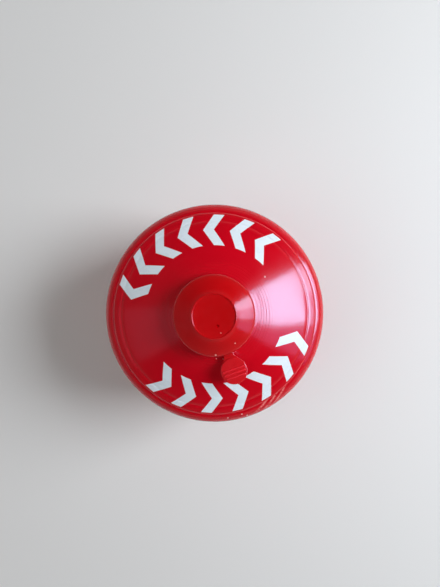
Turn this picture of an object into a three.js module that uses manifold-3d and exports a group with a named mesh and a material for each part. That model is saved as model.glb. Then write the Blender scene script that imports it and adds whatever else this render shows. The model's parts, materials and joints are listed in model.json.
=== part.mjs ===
// A screw-valve fuel canister with its press-on plastic cap, in millimetres, +Z up.
// The origin is at the centre of the ring that the canister stands on.
// The pull tab of the cap points towards -Y and a little towards +X.

import * as THREE from "three";
import { mergeVertices } from "three/addons/utils/BufferGeometryUtils.js";
import Module from "manifold-3d";

// Can: a drawn steel shell with a domed top and a seamed, hollow base
const canRadius = 55;
const wallTop = 66;
const shoulderRadius = 7;
const shoulderTurn = 72;
const stepWidth = 1.2;
const stepHeight = 0.9;
const domeEdgeSlope = 24.5;
const domeNeckSlope = 17.5;
const neckRise = 1.2;
const neckFlare = 0.9;
const curlRadius = 1.4;

// Base: the seam ring that carries the can, and the hollow panel inside it
const seamInset = 4.5;
const seamWidth = 2.9;
const seamHeight = 3.2;
const seamEdge = 0.6;
const seamGroove = 1.1;
const bodyTaper = 7;
const panelInset = 1.4;
const panelHeight = 4.5;
const panelRise = 8.5;

// Valve cup: pressed tinplate, rolled over the can's curl, with the screw boss drawn up in its centre
const cupSheet = 0.4;
const cupDepth = 6.5;
const cupCorner = 0.8;
const cupSkirt = 0.9;
const crimpSwell = 0.8;
const crimpDrop = 1;
const bossRadius = 5.555;
const bossWall = 0.9;
const bossRise = 4.5;
const bossFillet = 0.7;
const bossChamfer = 0.35;
const bossFlange = 0.5;
const portRadius = 2.1;
const clinchDepth = 0.4;
const clinchHeight = 1;

// Valve: gaskets, housing, stem and spring
const cupGasketThickness = 0.6;
const cupGasketSpan = 130;
const stemGasketThickness = 1;
const stemGasketBore = 1.9;
const housingTailRadius = 3.9;
const housingTailLength = 3.4;
const housingBore = 3.3;
const housingFloor = 1;
const inletRadius = 0.8;
const stemHeadRadius = 3;
const stemHeadThickness = 1.4;
const stemNoseRadius = 1.5;
const stemNoseHeight = 0.8;
const stemPinRadius = 1.4;
const stemPinLength = 5;
const springWire = 0.5;
const springRadius = 2.65;
const springTurns = 6;
const springClosedGap = 0.05;

// Cap: one moulding, a conical top with a sunk disc, a skirt and a pull tab
const capRadius = 18.7;
const capWall = 1.15;
const capConeHeight = 5.1;
const capShoulder = 1;
const capHeadroom = 0.5;
const discRadius = 9.5;
const discSink = 0.7;
const discThickness = 1;
const rimWidth = 0.7;
const rimEdge = 0.2;
const snapReach = 1.15;
const snapHeight = 1.3;
const snapDrop = 1.1;
const gateOffset = 4.6;
const gateRadius = 0.5;
const gateDepth = 0.35;
const gateSegments = 12;

// Pull tab: a waisted neck and a round grip with finger ridges
const tabDirection = -70.3;
const tabReach = 27.1;
const tabRise = 0.25;
const neckWidth = 4.9;
const neckRoot = 6.8;
const neckFlareAngle = 50;
const neckThickness = 1.4;
const gripRadius = 6.2;
const gripThickness = 1.9;
const gripEdge = 0.5;
const ridgeCount = 3;
const ridgePitch = 1.75;
const ridgeWidth = 0.9;
const ridgeHeight = 0.5;
const ridgeMargin = 1;
const ridgeOffset = 0.9;

// Clearances: between seated pieces, round moving pieces and between the cap and the can
const seatGap = 0.1;
const runningGap = 0.3;
const capGap = 0.3;

// Smoothness: segments round each kind of piece, and how far a chord may leave its arc
const canSegments = 56;
const cupSegments = 40;
const valveSegments = 32;
const capSegments = 60;
const gripSegments = 28;
const springStepsPerTurn = 10;
const chordError = 0.08;
const widestArcStep = 45;
const bendSteps = 3;

const wasm = await Module();
wasm.setup();

const radians = THREE.MathUtils.degToRad;

function stepsAlong(curve) {
  if (curve.isLineCurve) return 1;
  if (!curve.isEllipseCurve) return bendSteps;
  const sweep = Math.abs(curve.aEndAngle - curve.aStartAngle);
  const finest = 2 * Math.acos(1 - Math.min(chordError / curve.xRadius, 1));
  return Math.ceil(sweep / Math.min(finest, radians(widestArcStep)));
}

// A path's points, with more of them on the wider arcs and none that repeats the one before
function pointsOf(path) {
  const nearest = 1e-4;
  const kept = [];
  for (const curve of path.curves) {
    for (const point of curve.getPoints(stepsAlong(curve))) {
      if (!kept.length || point.distanceTo(kept.at(-1)) > nearest) kept.push(point);
    }
  }
  return kept;
}

// A solid turned about Z from a path of radius and height, drawn with its material on the left
function turned(path, segments) {
  return new THREE.LatheGeometry(pointsOf(path), segments).rotateX(Math.PI / 2);
}

// The neck's curl and the cup's bead over it stand inside the cap's skirt and its snap ring
const beadInner = curlRadius + 2 * seatGap;
const beadOuter = beadInner + cupSheet;
const skirtInner = capRadius - capWall;
const snapRadius = skirtInner - snapReach;
const curlCentreRadius = snapRadius - capGap - beadOuter;
const openingRadius = curlCentreRadius - curlRadius;

// The can's dome is an arc, steeper at its edge, that is almost a cone
const wallCentre = new THREE.Vector2(canRadius - shoulderRadius, wallTop);
const crease = new THREE.Vector2(
  wallCentre.x + shoulderRadius * Math.cos(radians(shoulderTurn)),
  wallCentre.y + shoulderRadius * Math.sin(radians(shoulderTurn)),
);
const domeEdge = new THREE.Vector2(crease.x - stepWidth, crease.y + stepHeight);
const neckRadius = curlCentreRadius + curlRadius + neckFlare;
const domeArcRadius =
  (domeEdge.x - neckRadius) / (Math.sin(radians(domeEdgeSlope)) - Math.sin(radians(domeNeckSlope)));
const domeCentre = new THREE.Vector2(
  domeEdge.x - domeArcRadius * Math.sin(radians(domeEdgeSlope)),
  domeEdge.y - domeArcRadius * Math.cos(radians(domeEdgeSlope)),
);

function domeHeight(radius) {
  return domeCentre.y + Math.sqrt(domeArcRadius ** 2 - (radius - domeCentre.x) ** 2);
}

// Heights that follow from the dome, one seat on the next
const curlHeight = domeHeight(neckRadius) + neckRise;
const beadHeight = curlHeight + cupGasketThickness;
const crimpTop = beadHeight + beadOuter;
const cupFloor = crimpTop - cupDepth;
const cupWallRadius = curlCentreRadius - beadInner;
const crimpHeight = curlHeight - curlRadius - crimpDrop;
const wellRadius = cupWallRadius + crimpSwell + runningGap;
const wellFloor = cupFloor - cupSheet - runningGap;
const bossTop = crimpTop + bossRise;
const bossBore = bossRadius - bossWall;
const clinchTop = cupFloor + bossFillet + clinchHeight;
const gasketTop = bossTop - bossFlange - seatGap;
const housingTop = gasketTop - stemGasketThickness - seatGap;
const housingBottom = cupFloor - housingTailLength;
const housingRadius = bossBore - seatGap;
const stemHeadTop = housingTop;
const stemHeadBottom = stemHeadTop - stemHeadThickness;
const springBottom = housingBottom + housingFloor + seatGap;
const springTop = stemHeadBottom - seatGap;
const discTop = bossTop + capHeadroom + discThickness;
const rimTop = discTop + discSink;
const rimRadius = discRadius + rimWidth;
const shoulderHeight = rimTop - capConeHeight;
const snapCentre = beadHeight - snapDrop;

function canGeometry() {
  const seamOuter = canRadius - seamInset;
  const seamInner = seamOuter - seamWidth;
  const panelRadius = seamInner - panelInset;
  const grooveRadius = seamOuter - seamGroove;
  const panelArc = (panelRadius ** 2 + panelRise ** 2) / (2 * panelRise);
  const panelCentre = panelHeight + panelRise - panelArc;
  const panelEdgeAngle = Math.acos(panelRadius / panelArc);
  const edgeSlope = radians(domeEdgeSlope);
  const neckSlope = radians(domeNeckSlope);
  const path = new THREE.Path();
  path.moveTo(0, panelHeight + panelRise);
  path.absarc(0, panelCentre, panelArc, Math.PI / 2, panelEdgeAngle, true);
  path.quadraticCurveTo(seamInner, panelHeight, seamInner, seamHeight);
  path.lineTo(seamInner, seamEdge);
  path.absarc(seamInner + seamEdge, seamEdge, seamEdge, Math.PI, 1.5 * Math.PI, false);
  path.absarc(seamOuter - seamEdge, seamEdge, seamEdge, 1.5 * Math.PI, 2 * Math.PI, false);
  path.absarc(seamOuter - seamEdge, seamHeight - seamEdge, seamEdge, 0, Math.PI / 2, false);
  path.lineTo(grooveRadius, seamHeight);
  path.bezierCurveTo(
    grooveRadius,
    seamHeight + bodyTaper / 2,
    canRadius,
    seamHeight + bodyTaper / 2,
    canRadius,
    seamHeight + bodyTaper,
  );
  path.lineTo(canRadius, wallTop);
  path.absarc(wallCentre.x, wallCentre.y, shoulderRadius, 0, radians(shoulderTurn), false);
  path.bezierCurveTo(
    crease.x - stepWidth / 2,
    crease.y,
    domeEdge.x + (stepWidth / 2) * Math.cos(edgeSlope),
    domeEdge.y - (stepWidth / 2) * Math.sin(edgeSlope),
    domeEdge.x,
    domeEdge.y,
  );
  path.absarc(
    domeCentre.x,
    domeCentre.y,
    domeArcRadius,
    Math.PI / 2 - edgeSlope,
    Math.PI / 2 - neckSlope,
    false,
  );
  const curlOuter = curlCentreRadius + curlRadius;
  path.quadraticCurveTo(curlOuter, domeHeight(neckRadius), curlOuter, curlHeight);
  path.absarc(curlCentreRadius, curlHeight, curlRadius, 0, Math.PI, false);
  path.lineTo(openingRadius, curlHeight - curlRadius);
  path.lineTo(wellRadius, crimpHeight + crimpSwell);
  path.lineTo(wellRadius, wellFloor);
  path.lineTo(bossBore + runningGap, wellFloor);
  path.lineTo(bossBore + runningGap, housingBottom - runningGap);
  path.lineTo(0, housingBottom - runningGap);
  return turned(path, canSegments);
}

function valveCupGeometry() {
  const wallInner = cupWallRadius - cupSheet;
  const underside = cupFloor - cupSheet;
  const outerCorner = cupCorner + cupSheet;
  const skirtBottom = beadHeight - cupSkirt;
  const clinchRadius = bossBore - clinchDepth;
  const path = new THREE.Path();
  path.moveTo(curlCentreRadius + beadOuter, skirtBottom);
  path.absarc(curlCentreRadius, beadHeight, beadOuter, 0, Math.PI, false);
  path.lineTo(wallInner, crimpHeight + crimpSwell);
  path.quadraticCurveTo(wallInner + 2 * crimpSwell, crimpHeight, wallInner, crimpHeight - crimpSwell);
  path.absarc(wallInner - cupCorner, cupFloor + cupCorner, cupCorner, 0, -Math.PI / 2, true);
  path.absarc(
    bossRadius + bossFillet,
    cupFloor + bossFillet,
    bossFillet,
    -Math.PI / 2,
    -Math.PI,
    true,
  );
  path.lineTo(bossRadius, bossTop - bossChamfer);
  path.lineTo(bossRadius - bossChamfer, bossTop);
  path.lineTo(portRadius, bossTop);
  path.lineTo(portRadius, bossTop - bossFlange);
  path.lineTo(bossBore, bossTop - bossFlange);
  path.lineTo(bossBore, clinchTop);
  path.lineTo(clinchRadius, clinchTop - clinchDepth / 2);
  path.lineTo(clinchRadius, clinchTop - clinchHeight + clinchDepth / 2);
  path.lineTo(bossBore, clinchTop - clinchHeight);
  path.lineTo(bossBore, underside);
  path.absarc(cupWallRadius - outerCorner, underside + outerCorner, outerCorner, -Math.PI / 2, 0, false);
  path.lineTo(cupWallRadius, crimpHeight - crimpSwell);
  path.quadraticCurveTo(
    cupWallRadius + 2 * crimpSwell,
    crimpHeight,
    cupWallRadius,
    crimpHeight + crimpSwell,
  );
  path.absarc(curlCentreRadius, beadHeight, beadInner, Math.PI, 0, true);
  path.lineTo(curlCentreRadius + beadInner, skirtBottom);
  path.closePath();
  return turned(path, cupSegments);
}

function cupGasketGeometry() {
  const radius = curlRadius + seatGap;
  const start = radians((180 - cupGasketSpan) / 2);
  const drop = beadHeight - curlHeight;
  const path = new THREE.Path();
  path.moveTo(curlCentreRadius + radius * Math.cos(start), curlHeight + radius * Math.sin(start));
  path.absarc(curlCentreRadius, curlHeight + drop, radius, start, Math.PI - start, false);
  path.absarc(curlCentreRadius, curlHeight, radius, Math.PI - start, start, true);
  path.closePath();
  return turned(path, cupSegments);
}

function stemGasketGeometry() {
  const bottom = gasketTop - stemGasketThickness;
  const path = new THREE.Path();
  path.moveTo(stemGasketBore, bottom);
  path.lineTo(housingRadius, bottom);
  path.lineTo(housingRadius, gasketTop);
  path.lineTo(stemGasketBore, gasketTop);
  path.closePath();
  return turned(path, valveSegments);
}

function valveHousingGeometry() {
  const shoulder = clinchTop + seatGap;
  const floorTop = housingBottom + housingFloor;
  const path = new THREE.Path();
  path.moveTo(inletRadius, housingBottom);
  path.lineTo(housingTailRadius - housingFloor / 2, housingBottom);
  path.lineTo(housingTailRadius, housingBottom + housingFloor / 2);
  path.lineTo(housingTailRadius, shoulder);
  path.lineTo(housingRadius, shoulder);
  path.lineTo(housingRadius, housingTop);
  path.lineTo(housingBore, housingTop);
  path.lineTo(housingBore, floorTop);
  path.lineTo(inletRadius, floorTop);
  path.closePath();
  return turned(path, valveSegments);
}

function valveStemGeometry() {
  const pinBottom = stemHeadBottom - stemPinLength;
  const chamfer = stemPinRadius / 4;
  const path = new THREE.Path();
  path.moveTo(0, pinBottom);
  path.lineTo(stemPinRadius - chamfer, pinBottom);
  path.lineTo(stemPinRadius, pinBottom + chamfer);
  path.lineTo(stemPinRadius, stemHeadBottom);
  path.lineTo(stemHeadRadius, stemHeadBottom);
  path.lineTo(stemHeadRadius, stemHeadTop);
  path.lineTo(stemNoseRadius, stemHeadTop);
  path.lineTo(stemNoseRadius, stemHeadTop + stemNoseHeight - chamfer);
  path.lineTo(stemNoseRadius - chamfer, stemHeadTop + stemNoseHeight);
  path.lineTo(0, stemHeadTop + stemNoseHeight);
  return turned(path, valveSegments);
}

// The spring's centre line: a helix whose first and last turns lie closed
class SpringLine extends THREE.Curve {
  getPoint(share, target = new THREE.Vector3()) {
    const closedPitch = springWire + springClosedGap;
    const low = springBottom + springWire / 2;
    const high = springTop - springWire / 2;
    const openPitch = (high - low - 2 * closedPitch) / (springTurns - 2);
    const turn = share * springTurns;
    const lowPart = Math.min(turn, 1) * closedPitch;
    const middlePart = THREE.MathUtils.clamp(turn - 1, 0, springTurns - 2) * openPitch;
    const highPart = Math.max(turn - springTurns + 1, 0) * closedPitch;
    const angle = 2 * Math.PI * turn;
    return target.set(
      springRadius * Math.cos(angle),
      springRadius * Math.sin(angle),
      low + lowPart + middlePart + highPart,
    );
  }
}

function returnSpringGeometry() {
  const section = new THREE.Shape();
  section.absarc(0, 0, springWire / 2, 0, 2 * Math.PI, false);
  return new THREE.ExtrudeGeometry(section, {
    curveSegments: 4,
    steps: springTurns * springStepsPerTurn,
    extrudePath: new SpringLine(),
  });
}

function solidOf(geometry) {
  const bare = geometry.index ? geometry.toNonIndexed() : geometry.clone();
  bare.deleteAttribute("normal");
  bare.deleteAttribute("uv");
  const merged = mergeVertices(bare, 1e-3);
  return new wasm.Manifold(
    new wasm.Mesh({
      numProp: 3,
      vertProperties: merged.attributes.position.array,
      triVerts: new Uint32Array(merged.index.array),
    }),
  );
}

function geometryOf(solid) {
  const { numProp, vertProperties, triVerts } = solid.getMesh();
  const shared = new THREE.BufferGeometry();
  const corners = new THREE.InterleavedBuffer(vertProperties, numProp);
  shared.setAttribute("position", new THREE.InterleavedBufferAttribute(corners, 3, 0));
  shared.setIndex(new THREE.BufferAttribute(triVerts, 1));
  const faceted = shared.toNonIndexed();
  faceted.computeVertexNormals();
  return faceted;
}

function capShell() {
  const coneSlope = Math.atan2(capConeHeight, capRadius - rimRadius);
  const coneDrop = capWall / Math.cos(coneSlope);
  const ceiling = discTop - discThickness;
  const innerShoulder = shoulderHeight - capWall * Math.tan(Math.PI / 4 - coneSlope / 2);
  const ceilingRadius = rimRadius - (ceiling - (rimTop - coneDrop)) / Math.tan(coneSlope);
  const coneStep = capShoulder / Math.hypot(1, Math.tan(coneSlope));
  const path = new THREE.Path();
  path.moveTo(0, ceiling);
  path.lineTo(ceilingRadius, ceiling);
  path.lineTo(skirtInner, innerShoulder);
  path.lineTo(skirtInner, snapCentre + snapHeight / 2);
  path.quadraticCurveTo(
    skirtInner - 2 * snapReach,
    snapCentre,
    skirtInner,
    snapCentre - snapHeight / 2,
  );
  path.lineTo(skirtInner, domeHeight(skirtInner) + capGap);
  path.lineTo(capRadius, domeHeight(capRadius) + capGap);
  path.lineTo(capRadius, shoulderHeight - capShoulder);
  path.quadraticCurveTo(
    capRadius,
    shoulderHeight,
    capRadius - coneStep,
    shoulderHeight + coneStep * Math.tan(coneSlope),
  );
  path.lineTo(rimRadius, rimTop - rimEdge);
  path.quadraticCurveTo(rimRadius - rimEdge, rimTop, rimRadius - rimWidth / 2, rimTop);
  path.quadraticCurveTo(discRadius, rimTop, discRadius, rimTop - rimEdge);
  path.lineTo(discRadius, discTop);
  path.lineTo(0, discTop);
  return solidOf(turned(path, capSegments));
}

// The tab is built along +X from the axis and turned to its direction afterwards
function capTab(tabBottom) {
  const rootReach = capRadius - capWall / 2;
  const flareAngle = radians(neckFlareAngle);
  const flareReach = tabReach - gripRadius * Math.cos(flareAngle);
  const flareHalf = gripRadius * Math.sin(flareAngle);
  const waistReach = (capRadius + tabReach - gripRadius) / 2;
  const outline = new THREE.Shape();
  outline.moveTo(rootReach, -neckRoot / 2);
  outline.splineThru([
    new THREE.Vector2(waistReach, -neckWidth / 2),
    new THREE.Vector2(flareReach, -flareHalf),
  ]);
  outline.lineTo(tabReach, 0);
  outline.lineTo(flareReach, flareHalf);
  outline.splineThru([
    new THREE.Vector2(waistReach, neckWidth / 2),
    new THREE.Vector2(rootReach, neckRoot / 2),
  ]);
  outline.closePath();
  const neck = new THREE.ExtrudeGeometry(outline, {
    curveSegments: bendSteps,
    depth: neckThickness,
    bevelEnabled: false,
  });
  neck.translate(0, 0, tabBottom);

  const gripPath = new THREE.Path();
  gripPath.moveTo(0, 0);
  gripPath.lineTo(gripRadius - gripEdge, 0);
  gripPath.absarc(gripRadius - gripEdge, gripEdge, gripEdge, -Math.PI / 2, 0, false);
  gripPath.absarc(gripRadius - gripEdge, gripThickness - gripEdge, gripEdge, 0, Math.PI / 2, false);
  gripPath.lineTo(0, gripThickness);
  const grip = turned(gripPath, gripSegments).translate(tabReach, 0, tabBottom);

  let tab = solidOf(neck).add(solidOf(grip));
  const ridgeTop = tabBottom + gripThickness + ridgeHeight;
  const ridgeFoot = tabBottom + gripThickness - ridgeHeight;
  for (let index = 0; index < ridgeCount; index += 1) {
    const shift = (index - (ridgeCount - 1) / 2) * ridgePitch + ridgeOffset;
    const half = Math.sqrt(gripRadius ** 2 - shift ** 2) - ridgeMargin;
    const section = new THREE.Shape();
    section.moveTo(-ridgeWidth / 2, ridgeFoot);
    section.lineTo(ridgeWidth / 2, ridgeFoot);
    section.lineTo(ridgeWidth / 2, ridgeTop - ridgeHeight / 2);
    section.quadraticCurveTo(ridgeWidth / 2, ridgeTop, 0, ridgeTop);
    section.quadraticCurveTo(-ridgeWidth / 2, ridgeTop, -ridgeWidth / 2, ridgeTop - ridgeHeight / 2);
    section.closePath();
    const ridge = new THREE.ExtrudeGeometry(section, {
      curveSegments: bendSteps,
      depth: 2 * half,
      bevelEnabled: false,
    });
    ridge.rotateX(Math.PI / 2).translate(tabReach + shift, half, 0);
    tab = tab.add(solidOf(ridge));
  }
  return tab;
}

function protectiveCapGeometry() {
  const tabBottom = domeHeight(skirtInner) + capGap + tabRise;
  const gate = new THREE.CylinderGeometry(gateRadius, gateRadius, 2 * gateDepth, gateSegments);
  gate.rotateX(Math.PI / 2).translate(gateOffset, 0, discTop);
  const tab = capTab(tabBottom).rotate([0, 0, tabDirection]);
  const pit = solidOf(gate).rotate([0, 0, tabDirection]);
  return geometryOf(capShell().add(tab).subtract(pit));
}

const redPaint = new THREE.MeshStandardMaterial({ color: 0xb00a1e, roughness: 0.25 });
const redPlastic = new THREE.MeshStandardMaterial({ color: 0xb8060a, roughness: 0.4 });
const tinplate = new THREE.MeshStandardMaterial({ color: 0xb9b6ad, roughness: 0.35, metalness: 0.9 });
const blackRubber = new THREE.MeshStandardMaterial({ color: 0x1c1c1c, roughness: 0.85 });
const paleNylon = new THREE.MeshStandardMaterial({ color: 0xdedbd0, roughness: 0.5 });
const springSteel = new THREE.MeshStandardMaterial({ color: 0x8e9094, roughness: 0.3, metalness: 1 });

function piece(name, geometry, material) {
  const mesh = new THREE.Mesh(geometry, material);
  mesh.name = name;
  return mesh;
}

const valve = new THREE.Group();
valve.add(
  piece("valve_cup", valveCupGeometry(), tinplate),
  piece("cup_gasket", cupGasketGeometry(), blackRubber),
  piece("stem_gasket", stemGasketGeometry(), blackRubber),
  piece("valve_housing", valveHousingGeometry(), paleNylon),
  piece("valve_stem", valveStemGeometry(), paleNylon),
  piece("return_spring", returnSpringGeometry(), springSteel),
);

const canister = new THREE.Group();
canister.add(
  piece("can", canGeometry(), redPaint),
  valve,
  piece("protective_cap", protectiveCapGeometry(), redPlastic),
);

export default canister;
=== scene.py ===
"""A gas fuel canister with its screw valve and pressed-on cap, dressed for a still picture.

Lengths in the classes are in millimetres and angles in degrees. Meshes are in metres, standing
where the frame's own solids stand, with +Z up and the origin under the middle of the can.
"""

import json
import logging
import math
from abc import ABC, abstractmethod
from collections.abc import Callable, Iterable
from dataclasses import dataclass, field
from enum import Enum
from functools import reduce

import bmesh
import bpy
from mathutils import Matrix, Vector

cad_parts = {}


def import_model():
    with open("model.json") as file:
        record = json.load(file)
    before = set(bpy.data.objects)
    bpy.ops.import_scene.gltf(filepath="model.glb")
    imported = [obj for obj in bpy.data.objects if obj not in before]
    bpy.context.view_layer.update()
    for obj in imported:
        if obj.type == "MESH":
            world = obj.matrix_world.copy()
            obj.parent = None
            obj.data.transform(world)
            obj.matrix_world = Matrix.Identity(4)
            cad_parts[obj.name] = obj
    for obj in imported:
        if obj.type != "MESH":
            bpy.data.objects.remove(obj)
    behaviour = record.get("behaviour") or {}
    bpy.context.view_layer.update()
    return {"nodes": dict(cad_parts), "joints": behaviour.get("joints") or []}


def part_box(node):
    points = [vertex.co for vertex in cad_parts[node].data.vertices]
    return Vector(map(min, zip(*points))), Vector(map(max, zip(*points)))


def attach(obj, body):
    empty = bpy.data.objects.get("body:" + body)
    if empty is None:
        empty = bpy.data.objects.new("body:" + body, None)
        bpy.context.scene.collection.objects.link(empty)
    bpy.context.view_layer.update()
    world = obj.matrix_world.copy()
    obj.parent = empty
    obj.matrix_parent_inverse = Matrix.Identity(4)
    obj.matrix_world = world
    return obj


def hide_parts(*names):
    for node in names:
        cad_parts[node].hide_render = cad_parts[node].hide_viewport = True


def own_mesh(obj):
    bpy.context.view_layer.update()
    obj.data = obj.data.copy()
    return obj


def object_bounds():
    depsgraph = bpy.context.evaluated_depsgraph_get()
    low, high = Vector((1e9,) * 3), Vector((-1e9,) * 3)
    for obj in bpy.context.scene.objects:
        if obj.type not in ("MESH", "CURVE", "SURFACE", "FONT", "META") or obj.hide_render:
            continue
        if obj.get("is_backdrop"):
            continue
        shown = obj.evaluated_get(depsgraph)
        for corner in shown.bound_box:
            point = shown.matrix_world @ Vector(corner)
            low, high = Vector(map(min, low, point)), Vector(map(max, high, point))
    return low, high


MM = 0.001
FULL_TURN = 360.0
MERGE_DISTANCE = 1e-7
SMOOTH_ANGLE = 32.0
IOR = 1.5
ABOUT_Z = {"cent": (0, 0, 0), "axis": (0, 0, 1)}
WHITE = (1.0, 1.0, 1.0, 1.0)

Colour = tuple[float, float, float, float]
Point = tuple[float, float] | Vector
Fields = dict[str | int, object]
Mesh = bmesh.types.BMesh
Piece = bpy.types.Object

log = logging.getLogger("fuel_canister")


class Join(Enum):
    """How one mesh is combined with another."""

    ADD = "UNION"
    CUT = "DIFFERENCE"


# Outlines and meshes


def ray(angle: float) -> Vector:
    """A step of length 1 at an angle from the first axis towards the second."""
    return Vector((math.cos(math.radians(angle)), math.sin(math.radians(angle))))


@dataclass
class Outline:
    """A path in millimetres: of radius and height for a turned piece, of x and y for a plate."""

    points: list[Point] = field(default_factory=list)

    def to(self, radius: float, height: float, steps: int = 1) -> "Outline":
        """Draws a straight line.

        Args:
            radius: Its end's distance from the axis.
            height: Its end's height.
            steps: How many equal stretches it has.

        Returns:
            The outline itself.
        """
        end = Vector((radius, height))
        start = Vector(self.points[-1]) if self.points else end
        for step in range(1, steps + 1):
            self._add(start.lerp(end, step / steps))
        return self

    def arc(self, centre: Point, radius: float, start: float, end: float, steps: int = 8) -> "Outline":
        """Draws an arc of a circle.

        Args:
            centre: The circle's centre.
            radius: The circle's radius.
            start: The angle where the arc starts, from the first axis towards the second.
            end: The angle where it ends.
            steps: How many chords it has.

        Returns:
            The outline itself.
        """
        for step in range(steps + 1):
            self._add(Vector(centre) + radius * ray(start + (end - start) * step / steps))
        return self

    def curve(self, *controls: Point, steps: int = 8) -> "Outline":
        """Draws a Bezier curve from the last point.

        Args:
            controls: The curve's other control points, the last of which is its end.
            steps: How many chords it has.

        Returns:
            The outline itself.
        """
        corners = [Vector(self.points[-1])] + [Vector(control) for control in controls]
        for step in range(1, steps + 1):
            level = corners
            while len(level) > 1:
                level = [a.lerp(b, step / steps) for a, b in zip(level, level[1:])]
            self._add(level[0])
        return self

    def _add(self, point: Vector) -> None:
        """Adds a point unless it repeats the last one."""
        nearest = 1e-5
        if not self.points or (point - Vector(self.points[-1])).length > nearest:
            self.points.append((point.x, point.y))


def turned(outline: Outline, segments: int, closed: bool = False) -> Mesh:
    """Turns an outline about Z.

    Args:
        outline: The path to turn.
        segments: How many steps the full turn has.
        closed: Whether the last point is joined to the first.

    Returns:
        The turned mesh, with its faces pointing out.
    """
    bm = bmesh.new()
    verts = [bm.verts.new((radius * MM, 0, height * MM)) for radius, height in outline.points]
    pairs = list(zip(verts, verts[1:] + verts[:1] if closed else verts[1:]))
    geom = verts + [bm.edges.new(pair) for pair in pairs]
    bmesh.ops.spin(bm, geom=geom, angle=math.tau, steps=segments, use_merge=True, **ABOUT_Z)
    bmesh.ops.remove_doubles(bm, verts=bm.verts, dist=MERGE_DISTANCE)
    bmesh.ops.recalc_face_normals(bm, faces=bm.faces)
    return bm


def rounded(bm: Mesh, edges: list[bmesh.types.BMEdge], radius: float, segments: int = 3) -> None:
    """Rounds edges.

    Args:
        bm: The mesh.
        edges: The edges to round.
        radius: The rounding's size in millimetres.
        segments: How many faces each rounding has.
    """
    shape = {"offset_type": "OFFSET", "affect": "EDGES", "profile": 0.5, "material": -1}
    bmesh.ops.bevel(bm, geom=edges, offset=radius * MM, segments=segments, **shape)


def shade(mesh: bpy.types.Mesh, smooth_angle: float) -> None:
    """Shades a mesh smooth, but keeps the edges sharp that turn by more than an angle."""
    mesh.shade_smooth()
    mesh.set_sharp_from_angle(angle=math.radians(smooth_angle))


def object_from(bm: Mesh, name: str, smooth_angle: float = SMOOTH_ANGLE) -> Piece:
    """Puts a bmesh into the scene as an object at the origin.

    Args:
        bm: The mesh, which is freed.
        name: The object's name.
        smooth_angle: Edges that turn by more than this stay sharp.

    Returns:
        The new object.
    """
    mesh = bpy.data.meshes.new(name)
    bm.to_mesh(mesh)
    bm.free()
    shade(mesh, smooth_angle)
    made = bpy.data.objects.new(name, mesh)
    bpy.context.scene.collection.objects.link(made)
    return made


def combine(base: Piece, tool: Piece, how: Join) -> None:
    """Joins a mesh to another, or cuts it out of it, and removes the tool.

    Args:
        base: The object that is kept.
        tool: The object that is joined or cut out.
        how: Whether it is joined or cut.
    """
    boolean = base.modifiers.new(how.name, "BOOLEAN")
    boolean.operation = how.value
    boolean.solver = "EXACT"
    boolean.object = tool
    bpy.context.view_layer.update()
    graph = bpy.context.evaluated_depsgraph_get()
    mesh = bpy.data.meshes.new_from_object(base.evaluated_get(graph))
    base.modifiers.clear()
    base.data = mesh
    bpy.data.objects.remove(tool)
    shade(mesh, SMOOTH_ANGLE)


# Shader maths


def math_method(operation: str, flipped: bool = False) -> Callable[..., "Signal"]:
    """Makes a method of Signal that adds a Math node.

    Args:
        operation: The node's operation.
        flipped: Whether the signal is the node's last input and not its first.

    Returns:
        The method, which takes the node's other inputs.
    """

    def method(signal: "Signal", *others: "Signal | float") -> "Signal":
        """Adds the Math node and gives its result."""
        values = (*others, signal) if flipped else (signal, *others)
        return signal.shader.add("ShaderNodeMath", {"operation": operation}, dict(enumerate(values)))

    return method


@dataclass(frozen=True)
class Signal:
    """A shader value: an output socket with the maker of its tree's nodes.

    above and below give 1 or 0, either gives the larger value, and bearing an angle in radians.
    """

    shader: "Shader"
    socket: bpy.types.NodeSocket

    __add__ = math_method("ADD")
    __radd__ = math_method("ADD", flipped=True)
    __sub__ = math_method("SUBTRACT")
    __rsub__ = math_method("SUBTRACT", flipped=True)
    __mul__ = math_method("MULTIPLY")
    __truediv__ = math_method("DIVIDE")
    __abs__ = math_method("ABSOLUTE")
    above = math_method("GREATER_THAN")
    below = math_method("LESS_THAN")
    either = math_method("MAXIMUM")
    fraction = math_method("FRACT")
    root = math_method("SQRT")
    bearing = math_method("ARCTAN2")

    def smooth(self, low: float, high: float) -> "Signal":
        """Rises smoothly from 0 at one value to 1 at another."""
        inputs = {"Value": self, "From Min": low, "From Max": high}
        return self.shader.add("ShaderNodeMapRange", {"interpolation_type": "SMOOTHSTEP"}, inputs)

    def fall(self, low: float, high: float) -> "Signal":
        """Falls smoothly from 1 at one value to 0 at another."""
        return 1.0 - self.smooth(low, high)

    def cell(self, pitch: float, shift: "Signal | float") -> "Signal":
        """Where this value lies in a row of equal cells.

        Args:
            pitch: How long each cell is.
            shift: How many cells the row is shifted by.

        Returns:
            The place in the cell, from -0.5 to 0.5.
        """
        return (self / pitch + shift).fraction() - 0.5


def any_of(masks: Iterable[Signal]) -> Signal:
    """The largest of several masks."""
    return reduce(Signal.either, masks)


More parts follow.
